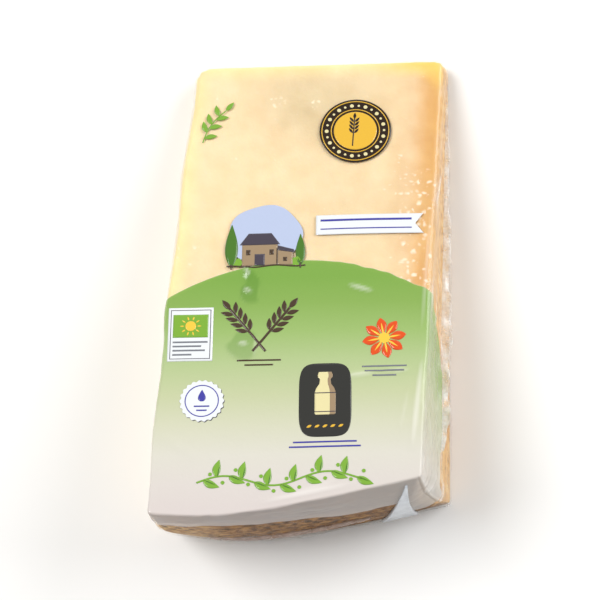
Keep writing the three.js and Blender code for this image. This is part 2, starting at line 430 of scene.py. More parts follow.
def makeGranaPaste():
    # hard grana paste, cut with a wire and aged: matt, finely granular and a little translucent, deeper in
    # colour towards the rind, with white crystals, and painted pale yellow near the face's rim and thin end
    # as backlight shining through
    look = cheeseLook
    material, tree = newMaterial("granaPaste")
    place = addNode(tree, "ShaderNodeTexCoord").outputs["Object"]
    kept = {
        title: addNode(tree, "ShaderNodeAttribute", attribute_name=title).outputs["Fac"]
        for title in ("rindDepth", "stamp", "thin", "dull", "crystals", "barrel", "golden")
    }
    mottle = addNode(
        tree, "ShaderNodeTexNoise", {"Vector": place, "Scale": 1000 / look["mottle"], "Detail": 3.0}
    )
    grain = addNode(
        tree, "ShaderNodeTexNoise", {"Vector": place, "Scale": 1000 / look["grain"], "Detail": 2.0}
    )
    # the deeper colour's depth wanders with the mottle
    wander = addNode(tree, "ShaderNodeMath", {0: mottle, 1: 4.0, 2: -2.0}, operation="MULTIPLY_ADD")
    wandered = addNode(tree, "ShaderNodeMath", {0: kept["rindDepth"], 1: wander}, operation="ADD")
    inwards = addNode(tree, "ShaderNodeMapRange", {"Value": wandered, "From Max": look["crustDepth"]})
    body = addNode(tree, "ShaderNodeValToRGB", {"Fac": inwards}, look["paste"])
    # mixed in: the duller patch, the painted backlight by the rim and thin end, and the golden corner
    for title in ("dull", "thin", "golden"):
        tinted = {"Factor": kept[title], "A": body, "B": toLinear(look[title])}
        body = addNode(tree, "ShaderNodeMix", tinted, data_type="RGBA")
    grainy = addNode(
        tree, "ShaderNodeMix", {"Factor": 0.35, "A": body, "B": mottle}, data_type="RGBA",
        blend_type="SOFT_LIGHT",
    )
    # crystals: uneven grains round the points of a Voronoi pattern whose places are shaken by a noise
    shaken = addNode(
        tree, "ShaderNodeTexNoise", {"Vector": place, "Scale": look["shakeScale"], "Detail": 1.0}
    ).outputs["Color"]
    warped = addNode(
        tree, "ShaderNodeVectorMath", {0: shaken, 1: look["shakeReach"], 2: place}, operation="MULTIPLY_ADD"
    )
    cells = addNode(tree, "ShaderNodeTexVoronoi", {"Vector": warped, "Scale": 1000 / look["fleckSpacing"]})
    chosen = addNode(tree, "ShaderNodeSeparateColor", {"Color": cells.outputs["Color"]})
    # each cell has a random number, and its crystal is as wide as that number exceeds what the zone allows
    extra = addNode(tree, "ShaderNodeMath", {0: chosen, 1: kept["crystals"]}, operation="ADD")
    wide = addNode(
        tree, "ShaderNodeMapRange", {"Value": extra, "From Min": 0.75, "From Max": 1.6, "To Max": 0.66}
    )
    inside = addNode(tree, "ShaderNodeMath", {0: wide, 1: cells.outputs["Distance"]}, operation="SUBTRACT")
    crystal = addNode(tree, "ShaderNodeMapRange", {"Value": inside, "From Max": 0.38, "To Max": 0.85})
    speckled = addNode(
        tree, "ShaderNodeMix", {"Factor": crystal, "A": grainy, "B": toLinear(look["fleck"])},
        data_type="RGBA",
    )
    # the rind's skin: pale on the wheel's flat side and brown on its barrel, where the end that faces away
    # from the lamps is also darkened as painted shade; darkest in the stamped dots
    skin = addNode(
        tree, "ShaderNodeMapRange",
        {"Value": kept["rindDepth"], "From Min": 0.5, "From Max": 1.6, "To Min": 1.0, "To Max": 0.0},
    )
    bark = addNode(
        tree, "ShaderNodeTexNoise",
        {"Vector": place, "Scale": 1000 / look["bark"], "Detail": 3.0, "Roughness": 0.6},
    )
    plate = addNode(tree, "ShaderNodeValToRGB", {"Fac": bark}, look["plateRind"])
    barrelBrownAndShade = addNode(tree, "ShaderNodeValToRGB", {"Fac": bark}, look["barrelRindAndShade"])
    rindTone = addNode(
        tree, "ShaderNodeMix", {"Factor": kept["barrel"], "A": plate, "B": barrelBrownAndShade}, data_type="RGBA"
    )
    dotted = addNode(
        tree, "ShaderNodeMix", {"Factor": kept["stamp"], "A": rindTone, "B": toLinear(look["stamped"])},
        data_type="RGBA",
    )
    colour = addNode(tree, "ShaderNodeMix", {"Factor": skin, "A": speckled, "B": dotted}, data_type="RGBA")
    bump = addNode(tree, "ShaderNodeBump", {"Height": grain, "Strength": 0.5, "Distance": 0.0003})
    # the dry brown barrel shines least
    level = addNode(tree, "ShaderNodeMath", {0: kept["barrel"], 1: -0.4, 2: 0.5}, operation="MULTIPLY_ADD")
    shader = addNode(
        tree, "ShaderNodeBsdfPrincipled",
        {
            "Base Color": colour, "Roughness": 0.62, "IOR": 1.45, "Specular IOR Level": level,
            "Normal": bump, "Subsurface Weight": look["scatter"],
            "Subsurface Radius": look["scatterRadius"], "Subsurface Scale": 1.0,
        },
    )
    addNode(tree, "ShaderNodeOutputMaterial", {"Surface": shader})
    return material


filmLook = {
    "hazeAndGlints": "#F6F3EE",
    "liftedShade": "#DEE9D8",
    "roughness": 0.13,
    "crinkle": 2.2,  # the finest wrinkles, drawn coarser than the real ones so that they show
    # the printed field by its distance in from the rind end, as a share of fieldLength
    "fieldLength": 100.0,
    "field": (
        (0.0, "#CFC6C2"),
        (0.1, "#D1CAC4"),
        (0.22, "#D1CEC2"),
        (0.34, "#C9CAB1"),
        (0.46, "#BCC39B"),
        (0.6, "#AABC86"),
        (0.72, "#95B269"),
        (0.84, "#83A652"),
        (0.95, "#78A146"),
    ),
}


def addWrinkles(tree):
    # the tight film's fine wrinkles, as a bump of noise
    place = addNode(tree, "ShaderNodeTexCoord").outputs["Object"]
    wrinkle = addNode(
        tree, "ShaderNodeTexNoise", {"Vector": place, "Scale": 1000 / filmLook["crinkle"], "Detail": 2.0}
    )
    return addNode(tree, "ShaderNodeBump", {"Height": wrinkle, "Strength": 0.35, "Distance": 0.0002})


def makeVacuumFilm():
    # co-extruded nylon and polythene film, blown and drawn tight: clear and glossy, milky where it is
    # crumpled, painted white along its creases' ridges as highlights, with a field of ink printed on it
    # that stops at a sharp edge
    look = filmLook
    material, tree = newMaterial("vacuumFilm")
    kept = {
        title: addNode(tree, "ShaderNodeAttribute", attribute_name=title).outputs["Fac"]
        for title in ("printEdge", "reach", "hazeAndGlints", "shine", "inkCoverAndShade", "lifted")
    }
    bump = addWrinkles(tree)
    inked = addNode(
        tree, "ShaderNodeMapRange", {"Value": kept["printEdge"], "From Min": -0.12, "From Max": 0.12}
    )
    along = addNode(tree, "ShaderNodeMapRange", {"Value": kept["reach"], "From Max": look["fieldLength"]})
    field = addNode(tree, "ShaderNodeValToRGB", {"Fac": along}, look["field"])
    # where air holds the film off the paste, less light comes back through the ink
    shaded = addNode(
        tree, "ShaderNodeMix", {"Factor": kept["lifted"], "A": field, "B": toLinear(look["liftedShade"])},
        data_type="RGBA", blend_type="MULTIPLY",
    )
    printed = addNode(
        tree, "ShaderNodeMix", {"Factor": inked, "A": toLinear(look["hazeAndGlints"]), "B": shaded}, data_type="RGBA"
    )
    # the milky haze, and the painted highlights along the creases' ridges, whiten the film
    colour = addNode(
        tree, "ShaderNodeMix", {"Factor": kept["hazeAndGlints"], "A": printed, "B": toLinear(look["hazeAndGlints"])},
        data_type="RGBA",
    )
    # the ink covers less on the rind end, which also darkens the band there as painted shade
    cover = addNode(tree, "ShaderNodeMath", {0: inked, 1: kept["inkCoverAndShade"]}, operation="MULTIPLY")
    solid = addNode(tree, "ShaderNodeMath", {0: cover, 1: kept["hazeAndGlints"]}, operation="MAXIMUM")
    level = addNode(tree, "ShaderNodeMath", {0: kept["shine"], 1: 0.5}, operation="MULTIPLY")
    body = addNode(
        tree, "ShaderNodeBsdfPrincipled",
        {
            "Base Color": colour, "Roughness": look["roughness"], "IOR": 1.5, "Specular IOR Level": level,
            "Normal": bump,
        },
    )
    glint = addNode(
        tree, "ShaderNodeBsdfPrincipled",
        {
            "Base Color": (0.95, 0.95, 0.95, 1), "Metallic": 1.0, "Roughness": look["roughness"],
            "Normal": bump,
        },
    )
    clear = addNode(tree, "ShaderNodeBsdfTransparent")
    # it mirrors 4 % straight on and more at a slant, by the fifth power of how far it faces away, the same
    # from both sides so that light gets out again, and less where it clings to the rough rind
    slant = addNode(tree, "ShaderNodeLayerWeight", {"Blend": 0.5, "Normal": bump}).outputs["Facing"]
    steep = addNode(tree, "ShaderNodeMath", {0: slant, 1: 5.0}, operation="POWER")
    mirror = addNode(tree, "ShaderNodeMath", {0: steep, 1: 0.96, 2: 0.04}, operation="MULTIPLY_ADD")
    mirrored = addNode(tree, "ShaderNodeMath", {0: mirror, 1: kept["shine"]}, operation="MULTIPLY")
    skin = addNode(tree, "ShaderNodeMixShader", {0: mirrored, 1: clear, 2: glint})
    whole = addNode(tree, "ShaderNodeMixShader", {0: solid, 1: skin, 2: body})
    addNode(tree, "ShaderNodeOutputMaterial", {"Surface": whole})
    return material


def makePrintingInk(name, colour):
    # flexographic ink on the film, even and as glossy as the film itself
    material, tree = newMaterial(name)
    bump = addWrinkles(tree)
    shader = addNode(
        tree, "ShaderNodeBsdfPrincipled",
        {"Base Color": toLinear(colour), "Roughness": filmLook["roughness"], "IOR": 1.5, "Normal": bump},
    )
    addNode(tree, "ShaderNodeOutputMaterial", {"Surface": shader})
    return material


# The cheese

cheese = {
    "spans": (128, 176, 52),
    "roundSteps": 3,
    "gather": 0.25,
    "gap": 0.55,  # between the film's outside and the paste
    "crumb": ((7.0, 0.16), (2.6, 0.1)),
    "dotSpacing": 5.2,
    "dotRadius": 1.55,
    "dotDepth": 0.5,
    "dotRows": (7, 62),  # from this height on the rind end to this one
    "backlitRim": 10.0,  # how far in from its rim the face is painted paler, as light shining through
    "dullPatch": {"x": -38.0, "reach": 166.0, "wide": 27.0, "long": 24.0},
    "crystalClouds": ((98, 12, 11), (133, 13, 16), (115, 9, 6)),  # reach, half length and how far in
}


def stampedDots(x, height):
    # a dot at each point of a lattice whose rows are offset by half a step, each with a rounded bottom
    row = np.round(height / cheese["dotSpacing"])
    column = x / cheese["dotSpacing"] + 0.5 * (row % 2)
    away = np.hypot((column - np.round(column)) * cheese["dotSpacing"], height - row * cheese["dotSpacing"])
    inRows = (height > cheese["dotRows"][0]) & (height < cheese["dotRows"][1])
    # the dots stand in bands with plain rind between them
    band = fadeIn(np.sin(x / 9.5) + 0.5 * np.sin(height / 6.1 + x / 21), -0.8, -0.5)
    return np.clip(1 - (away / cheese["dotRadius"]) ** 2, 0, 1) * inRows * band


def makeCheese():
    surface = chunkSurface(cheese["spans"], cheese["roundSteps"], cheese["gather"], cheese["gap"])
    base, lean, outward = surface["base"], surface["lean"], surface["outward"]
    endShare = np.clip(-lean[:, 1], 0, 1)
    dots = stampedDots(base[:, 0], base[:, 2]) * fadeIn(endShare, 0.8, 1)
    sink = sum(
        size * (1 + valueNoise(base, cell, 31 + number)) / 2
        for number, (cell, size) in enumerate(cheese["crumb"])
    )
    sink = sink + cheese["dotDepth"] * dots
    swell = np.where(lean[:, 2] > 0, lean[:, 2] ** 2 * faceRelief(base), 0)
    points = surface["points"] + outward * (swell - sink)[:, None]
    reach = surface["reach"]
    right = sideLimits(reach / faceLength, surface["depth"])[1]
    toSide = np.maximum(right - points[:, 0], 0)
    proud = rindRadius(base[:, 0], surface["heightShare"]) - wheelRadius
    toEnd = np.maximum(proud + reach, 0) + cheese["gap"] * endShare
    rindDepth = np.minimum(toSide, toEnd)
    toThin = np.minimum(base[:, 0] - sideLimits(reach / faceLength, 0)[0], faceLength - reach)
    # a duller patch in the middle towards the thin end, in the shape of a bell, and broad value noise
    patch = cheese["dullPatch"]
    sideways = (base[:, 0] - patch["x"]) / patch["wide"]
    lengthways = (reach - patch["reach"]) / patch["long"]
    bell = np.exp(-(sideways**2) - lengthways**2)
    # crystals gather in clouds beside the rind, thin out between and beyond them, and a few stand alone
    zone = sum(
        np.exp(-(((reach - middle) / size) ** 2) - (np.maximum(rindDepth - 9, 0) / spread) ** 2)
        for middle, size, spread in cheese["crystalClouds"]
    )
    alone = 0.8 * fadeIn(valueNoise(base, 8, 36), 0.58, 0.78)
    zone = np.maximum(zone, alone) * fadeIn(lean[:, 2], 0.2, 0.9)
    # a golden corner at the thin end, longer towards the rind side
    cornerX = base[:, 0] - chunk["tipShift"]
    goldenLength = 10 + 12 * fadeIn(cornerX, -12, 0)
    golden = fadeIn(cornerX, -34, -6) * (1 - fadeIn(faceLength - reach, 2, goldenLength))
    # the painted backlight fades out where the wedge is deep
    backlightDepthLoss = 1 - 0.75 * fadeIn(surface["depth"], 3, 16)
    values = {
        "rindDepth": rindDepth, "stamp": np.sqrt(dots),
        # painted backlight: paler yellow by the face's rim and thin end
        "thin": 0.8 * (1 - fadeIn(toThin, 0, cheese["backlitRim"])) * backlightDepthLoss,
        "dull": np.clip(0.72 * bell + 0.3 * valueNoise(base, 26, 35) + 0.12, 0, 1),
        "crystals": 0.02 + 0.6 * np.clip(zone, 0, 1), "golden": golden,
        # the barrel's brown, partly painted shade on the rind end that faces away from the lamps
        "barrel": fadeIn(endShare, 0.55, 0.9) * (1 - 0.6 * fadeIn(-base[:, 0], 72, 94)),
    }
    makePiece("cheese", points, surface["quads"], makeGranaPaste(), values)


makeCheese()
print("cheese made")


# The film round it

film = {
    "spans": (112, 204, 44),
    "roundSteps": 4,
    "gather": 0.2,
    # the printed field's curved top edge, an arc on the face
    "hill": {"x": -46.3, "reach": 6.2, "radius": 96.0},
    # how far down the print wraps: over the rind end, least at an x and more to both sides of it, over the
    # right corner, and over the two sides
    "wrapEnd": {"least": 13.0, "most": 27.0, "x": -78.0, "slope": 0.3, "softness": 12.0},
    "wrapCorner": 51.0,
    "wrapSide": 44.5,
    "wrapLoss": 0.2,  # less of the rind side is wrapped for each millimetre further in
    "wrapLeft": 20.0,
}


def hillTop(x):
    hill = film["hill"]
    rise = np.sqrt(np.maximum(hill["radius"] ** 2 - (x - hill["x"]) ** 2, 0))
    waver = (0.22 * np.sin(x / 2.6) + 0.16 * np.sin(x / 1.1 + 0.05 * x)) * fadeIn(x, -38, -22)
    return hill["reach"] + rise + waver


def printEdges(surface):
    # distance inside the field's edge: below the arc, carried on down the sides, and above the wrap's limit
    base, lean, depth, reach = surface["base"], surface["lean"], surface["depth"], surface["reach"]
    faceLeft, faceRight = sideLimits(reach / faceLength, 0)
    unrolled = np.where(base[:, 0] > faceRight, faceRight + 0.85 * depth, base[:, 0])
    unrolled = np.where(base[:, 0] < faceLeft, faceLeft - depth, unrolled)
    end = film["wrapEnd"]
    away = np.hypot(base[:, 0] - end["x"], end["softness"]) - end["softness"]
    endLimit = np.minimum(end["least"] + end["slope"] * away, end["most"])
    endLimit = endLimit + 0.7 * np.sin(base[:, 0] / 6.3) + 0.4 * np.sin(base[:, 0] / 2.1)
    endLimit = lerp(endLimit, film["wrapCorner"], fadeIn(base[:, 0], -9, -4))
    sideLimit = film["wrapSide"] - film["wrapLoss"] * reach + 0.9 * np.sin(reach / 5.1)
    sideLimit = lerp(film["wrapCorner"], sideLimit, fadeIn(reach, 15, 21))
    leftLimit = film["wrapLeft"] + 0.9 * np.sin(reach / 6.7)
    share = np.clip(np.abs(lean), 1e-6, None) ** 2
    sideways = share[:, 0] / (share[:, 0] + share[:, 1])
    limit = lerp(endLimit, np.where(lean[:, 0] > 0, sideLimit, leftLimit), sideways)
    limit = np.where(lean[:, 1] > 0.7, -50, limit)
    limit = np.where(lean[:, 2] > 0.9, 50, limit)
    return np.minimum(hillTop(unrolled) - reach, limit - depth)


def makeFilm():
    surface = chunkSurface(film["spans"], film["roundSteps"], film["gather"], 0)
    base, lean = surface["base"], surface["lean"]
    points = base + surface["outward"] * filmRelief(surface)[:, None]
    points[:, 2] = np.maximum(points[:, 2], 0)
    patches = valueNoise(base, 13, 41) + 0.6 * valueNoise(base, 5, 42)
    faceUp, toSide, toEnd = (np.clip(part, 0, 1) for part in (lean[:, 2], lean[:, 0], -lean[:, 1]))
    nearFace = 1 - fadeIn(surface["depth"], 2, 12)
    # milky in patches, beside the printed face and low on the rind end; along the creases' ridges the
    # whitening is a painted highlight
    sideRidgeGlint = np.clip(creaseHeight(surface["reach"], surface["depth"], sideCreases) - 0.12, 0, 1)
    endRidgeGlint = np.clip(creaseHeight(base[:, 0], surface["depth"], endCreases) - 0.12, 0, 1)
    side = toSide * np.clip(0.02 + 0.14 * patches + 0.08 * nearFace + 1.3 * sideRidgeGlint, 0, 0.75)
    low = 1 - fadeIn(base[:, 2], 3, 20)
    end = toEnd * np.clip(0.04 * patches + 0.3 * low + 0.5 * endRidgeGlint, 0, 0.7)
    x, reach = base[:, 0], surface["reach"]
    # painted highlight: the face's crease ridges are whitened where glints would show
    faceRidgeGlint = np.clip(creaseHeight(x, reach, relief["faceCreases"]) - 0.18, 0, 1)
    face = faceUp**2 * np.clip(1.4 * faceRidgeGlint, 0, 0.35)
    left = np.clip(-lean[:, 0], 0, 1) * np.clip(0.04 + 0.1 * patches, 0, 1)
    thin = np.clip(lean[:, 1], 0, 1) * 0.05
    values = {
        "printEdge": printEdges(surface),
        # painted shade: the field's colour runs on a slant down the rind side, greener and darker there
        "reach": reach + 0.5 * toSide * surface["depth"] * fadeIn(reach, 42, 58),
        "lifted": liftedFilm(x, reach) * faceUp,
        "hazeAndGlints": np.clip(side + end + left + thin + face, 0, 0.8),
        "shine": 1 - 0.5 * toSide - 0.92 * toEnd,
        # the brown rind shows through thinner ink on the rind end, which also darkens the band as painted
        # shade
        "inkCoverAndShade": 0.87 + 0.06 * faceUp - 0.2 * toEnd,
    }
    makePiece("film", points, surface["quads"], makeVacuumFilm(), values)


makeFilm()
print("film made")


# The bag's loose film: the side seam, the folded corner and the pleat

sideSeam = {
    "material": "sealedFilm",
    "tint": "#FBFAF7",
    "cover": (0.12, 0.8),  # least and most that its milky layers hide
    "crumple": 0.6,
    "start": 34.0,
    "end": 176.0,
    "steps": (14, 300),
    "embedded": 2.5,  # how far it starts inside the wedge
    "thickness": 0.45,
    "heightShare": 0.42,  # of the wedge's height, where the strip stands out
    "reachShare": 0.062,
    "waves": ((0.2, 37.0), (0.14, 15.0), (0.07, 6.3)),
    "lift": 0.22,
    "ruffle": 0.3,
}
foldedCorner = {
    "material": "foldedFilm",
    "tint": "#E4EBF3",
    "cover": (0.82, 0.97),
    "crumple": 0.12,
    # corners as x and the share of the rind end's height
    "corners": ((-17.5, 0.07), (-3.0, 0.07), (-5.4, 0.93), (-6.2, 0.93)),
    "layers": (-0.9, 0.9),  # its inner and outer side, from the rind's radius
    "steps": (26, 44),
    "buckle": 0.16,
    "hollow": 0.9,  # its right side curves in
    "taper": 0.0,
}
pleat = {
    "material": "pleatedFilm",
    "tint": "#E3CFC6",
    "cover": (0.2, 0.65),
    "crumple": 0.4,
    "corners": ((-84.0, 0.4), (-21.0, 0.34), (-21.0, 0.4), (-84.0, 0.42)),
    "layers": (-0.8, 0.8),
    "steps": (90, 8),
    "buckle": 0.35,
    "hollow": 0.0,
    "taper": 1.0,
}


def makeLayeredFilm(look):
    # the same film in two or three layers, crumpled or folded flat: whitish, glossy and partly see-through
    material, tree = newMaterial(look["material"])
    place = addNode(tree, "ShaderNodeTexCoord").outputs["Object"]
    cloud = addNode(tree, "ShaderNodeTexNoise", {"Vector": place, "Scale": 260.0, "Detail": 3.0})
    least, most = look["cover"]
    solid = addNode(
        tree, "ShaderNodeMapRange",
        {"Value": cloud, "From Min": 0.3, "From Max": 0.7, "To Min": least, "To Max": most},
    )
    bump = addNode(
        tree, "ShaderNodeBump", {"Height": cloud, "Strength": look["crumple"], "Distance": 0.0006}
    )
    body = addNode(
        tree, "ShaderNodeBsdfPrincipled",
        {"Base Color": toLinear(look["tint"]), "Roughness": 0.18, "IOR": 1.5, "Normal": bump},
    )
    clear = addNode(tree, "ShaderNodeBsdfTransparent")
    whole = addNode(tree, "ShaderNodeMixShader", {0: solid, 1: clear, 2: body})
    addNode(tree, "ShaderNodeOutputMaterial", {"Surface": whole})
    return material


def makeSideSeam():
    # a strip out of the rind side: its reach follows the wedge's height with ripples, crumpled by value
    # noise
    look = sideSeam
    lattice, quads = boxLattice((*look["steps"], 1))
    share = lattice[:, 1] / look["steps"][1]
    y = lerp(look["start"], look["end"], share)
    height = (wheelRadius - y) * math.sin(chunk["angle"])
    side = sideLimits(y / faceLength, height * (1 - look["heightShare"]))[1]
    ripple = sum(size * np.sin(2 * np.pi * y / length) for size, length in look["waves"])
    taper = np.maximum(np.sin(np.pi * share), 0) ** 0.4
    reach = taper * look["reachShare"] * height * (1 + ripple)
    outwards = lerp(-look["embedded"], reach, lattice[:, 0] / look["steps"][0])
    free = np.maximum(outwards, 0)
    lift = look["lift"] * free * np.sin(2 * np.pi * y / look["waves"][1][1])
    along = np.stack([outwards, y, 0 * y], 1)
    lift += look["ruffle"] * free * (valueNoise(along, 4.3, 71) + 0.5 * valueNoise(along, 1.9, 72))
    z = height * look["heightShare"] + lift + (lattice[:, 2] - 0.5) * look["thickness"]
    makePiece("sideSeam", np.stack([side + outwards, y, z], 1), quads, makeLayeredFilm(look))


def makeRindSheet(name, look, seed):
    # a four-cornered sheet that follows the barrel of the rind end, buckled by value noise
    lattice, quads = boxLattice((*look["steps"], 1))
    across, up = lattice[:, 0] / look["steps"][0], lattice[:, 1] / look["steps"][1]
    lowLeft, lowRight, highRight, highLeft = (np.array(corner) for corner in look["corners"])
    low = lerp(lowLeft, lowRight, across[:, None])
    high = lerp(highLeft, highRight, across[:, None])
    narrow = lerp(1, np.maximum(np.sin(np.pi * across), 0.02) ** 0.5, look["taper"])
    held = lerp(0.5, up, narrow)
    x, heightShare = lerp(low, high, held[:, None]).T
    x = x - look["hollow"] * across * np.sin(np.pi * up)
    angle = chunk["angle"] * heightShare
    flat = np.stack([x, 0 * x, 60 * heightShare], 1)
    buckle = look["buckle"] * (valueNoise(flat, 6.0, seed) + 0.5 * valueNoise(flat, 2.7, seed + 1) - 0.6)
    rim = np.minimum(np.minimum(across, 1 - across), np.minimum(up, 1 - up))
    proud = lattice[:, 2] * buckle * fadeIn(rim, 0, 0.2)
    inner, outer = look["layers"]
    radius = rindRadius(x, heightShare) + lerp(inner, outer * narrow, lattice[:, 2]) + proud * narrow
    points = np.stack([x, wheelRadius - radius * np.cos(angle), radius * np.sin(angle)], 1)
    makePiece(name, points, quads[:, ::-1], makeLayeredFilm(look))


makeSideSeam()
makeRindSheet("foldedCorner", foldedCorner, 51)
makeRindSheet("pleat", pleat, 61)
print("loose film made")


# The print's motifs, each a thin sheet of ink that follows the film

inkLift = {"ground": 0.05, "shape": 0.085, "detail": 0.12, "top": 0.155}
inkThickness = 0.02
inkCell = 0.8  # the sheets' grids are no coarser than this
inkSheets = {}
inkColours = {
    "Brown": "#27180E",
    "Gold": "#D8AB37",
    "Lavender": "#AEB9D3",
    "Stone": "#978165",
    "Slate": "#443E49",
    "White": "#DBDEE0",
    "Violet": "#3E3E98",
    "LeafGreen": "#75A137",
    "DarkGreen": "#467026",
    "Orange": "#D34D1C",
    "Yellow": "#E3BC42",
    "Black": "#2E2E2B",
    "Umber": "#453526",
    "Grey": "#72757C",
    "Cream": "#D7CD9B",
}


def layInk(ink, level, x, reach, closed=False):
    # a grid of places on the face becomes a thin closed sheet of that ink: its upper side, the same turned
    # over below it, and a rim between them; a closed one joins its last column to its first
    rows, columns = x.shape
    total = rows * columns
    index = np.arange(total).reshape(rows, columns)
    if closed:
        index = np.concatenate([index, index[:, :1]], axis=1)
        paths = [index[-1], index[0, ::-1]]
    else:
        around = [index[:-1, 0], index[-1, :-1], index[:0:-1, -1], index[0, :0:-1], index[:1, 0]]
        paths = [np.concatenate(around)]
    upper = gridQuads(index)
    rims = [np.stack([path[1:], path[:-1], path[:-1] + total, path[1:] + total], -1) for path in paths]
    quads = np.concatenate([upper, upper[:, ::-1] + total, *rims])
    firstX, firstReach = x[1, 0] - x[0, 0], reach[1, 0] - reach[0, 0]
    nextX, nextReach = x[0, 1] - x[0, 0], reach[0, 1] - reach[0, 0]
    if firstX * nextReach < firstReach * nextX:
        quads = quads[:, ::-1]
    sheets = inkSheets.setdefault(ink, {"points": [], "quads": [], "crisp": [], "count": 0})
    for lift in (inkLift[level] + inkThickness, inkLift[level]):
        sheets["points"].append(facePoints(x, reach, lift))
    sheets["quads"].append(quads + sheets["count"])
    sheets["crisp"].append(np.arange(len(quads)) >= 2 * len(upper))
    sheets["count"] += 2 * total


def cellsFor(length):
    return max(2, int(math.ceil(length / inkCell)))


def polar(length, degrees):
    turn = math.radians(degrees)
    return length * math.cos(turn), length * math.sin(turn)


def layDisc(ink, level, x, reach, radius, lobes=0, lobeDepth=0.0, stretch=1.0, power=2.0):
    # a square grid drawn onto a disc, so that it has no pole; its rim waves where there are lobes, and a
    # power above 2 makes the disc a superellipse, which is a square with rounded corners
    steps = np.linspace(-1, 1, cellsFor(2 * radius) + 5 + 2 * lobes)
    a, b = np.meshgrid(steps, steps, indexing="ij")
    across, along = a * np.sqrt(1 - b * b / 2), b * np.sqrt(1 - a * a / 2)
    size, turn = np.hypot(across, along), np.arctan2(along, across)
    wave = (np.abs(np.cos(turn)) ** power + np.abs(np.sin(turn)) ** power) ** (-1 / power)
    wave = wave * (1 + lobeDepth * np.cos(lobes * turn) * size**4)
    layInk(ink, level, x + radius * across * wave, reach + stretch * radius * along * wave)


def layRing(ink, level, x, reach, inner, outer):
    # a closed band, run round in steps half as long as a cell
    angles = np.radians(np.linspace(0, 360, cellsFor(2 * math.pi * outer) * 2, endpoint=False))
    radii = np.linspace(inner, outer, cellsFor(outer - inner) + 1)
    radius, angle = np.meshgrid(radii, angles, indexing="ij")
    layInk(ink, level, x + radius * np.cos(angle), reach + radius * np.sin(angle), closed=True)


def layPatch(ink, level, corners):
    # a four-cornered field, its grid blended between the corners
    (ax, ay), (bx, by), (cx, cy), (dx, dy) = corners
    long = max(math.hypot(bx - ax, by - ay), math.hypot(cx - dx, cy - dy))
    wide = max(math.hypot(dx - ax, dy - ay), math.hypot(cx - bx, cy - by))
    s, t = np.meshgrid(
        np.linspace(0, 1, cellsFor(long) + 1), np.linspace(0, 1, cellsFor(wide) + 1), indexing="ij"
    )
    layInk(ink, level, lerp(lerp(ax, bx, s), lerp(dx, cx, s), t), lerp(lerp(ay, by, s), lerp(dy, cy, s), t))


def layBar(ink, level, x, reach, width, height):
    layPatch(ink, level, ((x, reach), (x + width, reach), (x + width, reach + height), (x, reach + height)))


def layStroke(ink, level, x, reach, width):
    # a line of even width along a path of points
    runX, runReach = np.gradient(x), np.gradient(reach)
    size = np.hypot(runX, runReach)
    side = np.linspace(-0.5, 0.5, 3)[:, None] * width
    layInk(ink, level, x - side * runReach / size, reach + side * runX / size)


def layLeaf(ink, level, x, reach, length, width, angle, fullest=0.45, bend=0.0):
    # a leaf or grain: its half width is a sine arch whose peak is moved along, and its midrib is an arc
    t = np.linspace(0.02, 0.98, cellsFor(length) + 5)
    half = width / 2 * np.sin(np.pi * t ** (math.log(0.5) / math.log(fullest)))
    side = np.linspace(-1, 1, 5)[:, None]
    along = length * t + 0 * side
    away = side * half + bend * length * np.sin(np.pi * t)
    cos, sin = polar(1, angle)
    layInk(ink, level, x + along * cos - away * sin, reach + along * sin + away * cos)


def makeRoundel(x, reach, radius):
    # a dark badge with two thin gold rings, a rim of gold beads and one ear of wheat on a gold centre
    layDisc("Brown", "ground", x, reach, radius)
    layRing("Gold", "shape", x, reach, 0.92 * radius, 0.945 * radius)
    layRing("Gold", "shape", x, reach, 0.66 * radius, 0.685 * radius)
    layDisc("Gold", "shape", x, reach, 0.6 * radius)
    for number in range(26):
        bead = 0.055 * radius if number % 2 else 0.035 * radius
        beadX, beadReach = polar(0.8 * radius, 360 * number / 26)
        layDisc("Cream", "shape", x + beadX, reach + beadReach, bead)
    makeWheatEar("Brown", "detail", x - 0.08 * radius, reach - 0.48 * radius, 1.02 * radius, 86, 4)


def makeWheatEar(ink, level, x, reach, length, angle, pairs):
    # a stalk whose outer half bears pairs of grains that lean out from it, and one grain at its end
    runX, runReach = polar(length, angle)
    along = np.linspace(0, 0.86, cellsFor(length) + 2)
    layStroke(ink, level, x + along * runX, reach + along * runReach, 0.035 * length)
    for number in range(pairs):
        at = 0.4 + 0.46 * number / pairs
        for side in (-0.02, 0.02):
            rootX, rootReach = x + at * runX - side * runReach, reach + at * runReach + side * runX
            layLeaf(ink, level, rootX, rootReach, 0.19 * length, 0.072 * length, angle + side * 1900)
    layLeaf(ink, level, x + 0.84 * runX, reach + 0.84 * runReach, 0.2 * length, 0.085 * length, angle)


